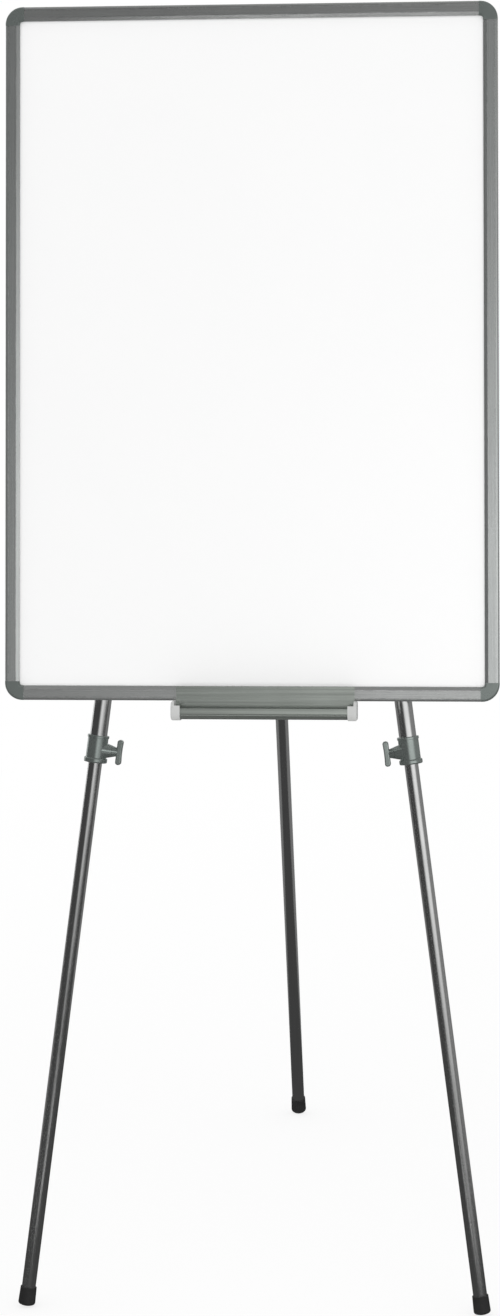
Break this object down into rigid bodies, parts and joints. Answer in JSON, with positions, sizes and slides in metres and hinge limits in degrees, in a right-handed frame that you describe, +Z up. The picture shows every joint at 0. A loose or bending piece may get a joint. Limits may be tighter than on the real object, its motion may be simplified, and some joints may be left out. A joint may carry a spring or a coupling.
{
  "type": "whiteboard on a tripod stand",
  "caption": "Portrait dry-wipe board in a rounded frame with a pen tray, leaning on a folding tripod with telescopic legs held by T-screw collars.",
  "frame": {"origin": "on the floor, under the middle of the stand's box", "axes": "+X to the writer's right, +Y from the writer to the back, +Z up"},
  "size_m": [0.71, 0.9157, 1.8584],
  "materials": {
    "white_lacquer": "glossy dry-wipe lacquer on steel sheet",
    "core_board": "light pressed core board",
    "back_sheet_grey": "thin plain backing sheet",
    "frame_aluminium": "satin anodised extrusion",
    "corner_plastic": "fine moulded texture",
    "tray_aluminium": "satin anodised extrusion",
    "cap_plastic": "light grey moulding",
    "clamp_plastic": "grey moulding",
    "head_plastic": "grey moulding",
    "tube_lacquer": "silver-grey lacquer on steel tube",
    "zinc_steel": "zinc plated",
    "insert_brass": "plain",
    "bush_plastic": "plain moulding",
    "foot_rubber": "matt black rubber"
  },
  "bodies": {
    "board": {"writing_sheet": "white_lacquer", "core_panel": "core_board", "back_sheet": "back_sheet_grey", "tripod_head": "head_plastic", "left_leg_saddle": "head_plastic", "right_leg_saddle": "head_plastic", "frame_top_rail": "frame_aluminium", "frame_bottom_rail": "frame_aluminium", "frame_left_rail": "frame_aluminium", "frame_right_rail": "frame_aluminium", "corner_top_left": "corner_plastic", "corner_top_right": "corner_plastic", "corner_bottom_left": "corner_plastic", "corner_bottom_right": "corner_plastic", "corner_screws": "zinc_steel", "head_screws": "zinc_steel", "saddle_screws": "zinc_steel", "leg_socket_screws": "zinc_steel", "hinge_bolt": "zinc_steel", "hinge_nut": "zinc_steel", "left_upper_tube": "tube_lacquer", "left_clamp_collar": "clamp_plastic", "left_thread_insert": "insert_brass", "right_upper_tube": "tube_lacquer", "right_clamp_collar": "clamp_plastic", "right_thread_insert": "insert_brass"},
    "pen_tray_assembly": {"pen_tray": "tray_aluminium", "tray_end_cap_left": "cap_plastic", "tray_end_cap_right": "cap_plastic"},
    "rear_leg": {"rear_hinge_knuckle": "head_plastic", "rear_knuckle_screw": "zinc_steel", "rear_upper_tube": "tube_lacquer", "rear_clamp_collar": "clamp_plastic", "rear_thread_insert": "insert_brass"},
    "left_lower_leg": {"left_lower_tube": "tube_lacquer", "left_guide_bush": "bush_plastic", "left_foot": "foot_rubber"},
    "left_t_screw": {"left_clamp_knob": "clamp_plastic", "left_clamp_screw": "zinc_steel"},
    "right_lower_leg": {"right_lower_tube": "tube_lacquer", "right_guide_bush": "bush_plastic", "right_foot": "foot_rubber"},
    "right_t_screw": {"right_clamp_knob": "clamp_plastic", "right_clamp_screw": "zinc_steel"},
    "rear_lower_leg": {"rear_lower_tube": "tube_lacquer", "rear_guide_bush": "bush_plastic", "rear_foot": "foot_rubber"},
    "rear_t_screw": {"rear_clamp_knob": "clamp_plastic", "rear_clamp_screw": "zinc_steel"}
  },
  "joints": [
    {"name": "rear_leg_hinge", "type": "hinge", "parent": "board", "child": "rear_leg", "pos_m": [0, -0.18341, 1.80363], "axis": [1, 0, 0], "range_deg": [-27.35, 0]},
    {"name": "left_leg_slide", "type": "slide", "parent": "board", "child": "left_lower_leg", "axis": [0.1268, 0.138, 0.9823], "range_m": [-0.08, 0.74]},
    {"name": "right_leg_slide", "type": "slide", "parent": "board", "child": "right_lower_leg", "axis": [-0.1268, 0.138, 0.9823], "range_m": [-0.08, 0.74]},
    {"name": "rear_leg_slide", "type": "slide", "parent": "rear_leg", "child": "rear_lower_leg", "axis": [0, -0.3313, 0.9435], "range_m": [-0.05, 0.78]},
    {"name": "left_t_screw_turn", "type": "hinge", "parent": "board", "child": "left_t_screw", "pos_m": [-0.20388, -0.33398, 0.78938], "axis": [0.9919, -0.0176, -0.1256], "range_deg": [0, 360]},
    {"name": "right_t_screw_turn", "type": "hinge", "parent": "board", "child": "right_t_screw", "pos_m": [0.20388, -0.33398, 0.78938], "axis": [-0.9919, -0.0176, -0.1256], "range_deg": [0, 360]},
    {"name": "rear_t_screw_turn", "type": "hinge", "parent": "rear_leg", "child": "rear_t_screw", "pos_m": [0, 0.18691, 0.81552], "axis": [0, 0.9435, 0.3313], "range_deg": [0, 360]},
    {"name": "pen_tray_slide", "type": "slide", "parent": "board", "child": "pen_tray_assembly", "axis": [1, 0, 0], "range_m": [-0.0734, 0.0314]}
  ]
}
